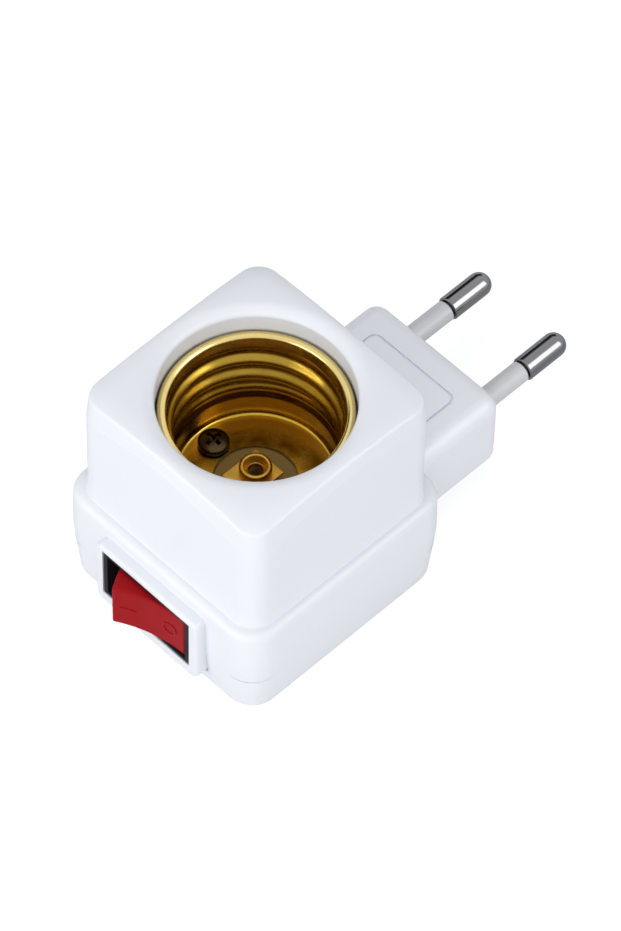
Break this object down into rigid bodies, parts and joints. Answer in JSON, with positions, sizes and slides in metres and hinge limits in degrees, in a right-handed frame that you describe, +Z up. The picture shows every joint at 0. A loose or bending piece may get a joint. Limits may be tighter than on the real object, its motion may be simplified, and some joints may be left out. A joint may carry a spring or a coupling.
{
  "type": "switched plug-in lamp socket",
  "caption": "Plug-in lamp holder: square white body with an upward screw socket, a rocker switch on one side and round plug pins on the other.",
  "frame": {"origin": "on the socket's axis, in the plane of the flat bottom", "axes": "+Z up along the socket's axis, out of its mouth; +Y the way the plug pins point; the switch is on the -Y face"},
  "size_m": [0.0414, 0.0834, 0.043],
  "materials": {
    "white_plastic": "glossy moulded, slightly cool white",
    "plate_resin": "satin moulded resin",
    "brass": "bright pressed sheet",
    "nickel": "bright nickel plate",
    "steel": "dull plated",
    "sleeve_plastic": "satin grey",
    "black_plastic": "satin black",
    "red_plastic": "semi-gloss red",
    "nylon": "natural, satin",
    "blue_insulation": "satin",
    "brown_insulation": "satin",
    "black_insulation": "satin"
  },
  "bodies": {
    "case": {"upper_cover": "white_plastic", "lower_cover": "white_plastic", "screw_shell": "brass", "contact_plate": "plate_resin", "centre_contact": "brass", "centre_screw": "steel", "shell_strap": "brass", "shell_screw_0": "steel", "shell_screw_1": "steel", "plate_screw_0": "steel", "plate_screw_1": "steel", "case_screw_0": "steel", "case_screw_1": "steel", "pin_0": "nickel", "pin_1": "nickel", "pin_sleeve_0": "sleeve_plastic", "pin_sleeve_1": "sleeve_plastic", "switch_housing": "black_plastic", "common_terminal": "brass", "load_terminal": "brass", "neutral_wire": "blue_insulation", "live_wire": "brown_insulation", "switched_wire": "black_insulation"},
    "rocker": {"rocker": "red_plastic", "switch_plunger": "nylon", "plunger_spring": "steel"},
    "contact_lever": {"contact_lever": "brass"}
  },
  "joints": [
    {"name": "rocker_turn", "type": "hinge", "parent": "case", "child": "rocker", "pos_m": [0, -0.0166, 0.0105], "axis": [0, 0, -1], "range_deg": [0, 34]},
    {"name": "lever_tilt", "type": "hinge", "parent": "case", "child": "contact_lever", "pos_m": [0, -0.01095, 0.0105], "axis": [0, 0, 1], "range_deg": [0, 14]}
  ],
  "couplings": [
    {"joint": "lever_tilt", "follows": "rocker_turn", "ratio": 0.4117}
  ]
}
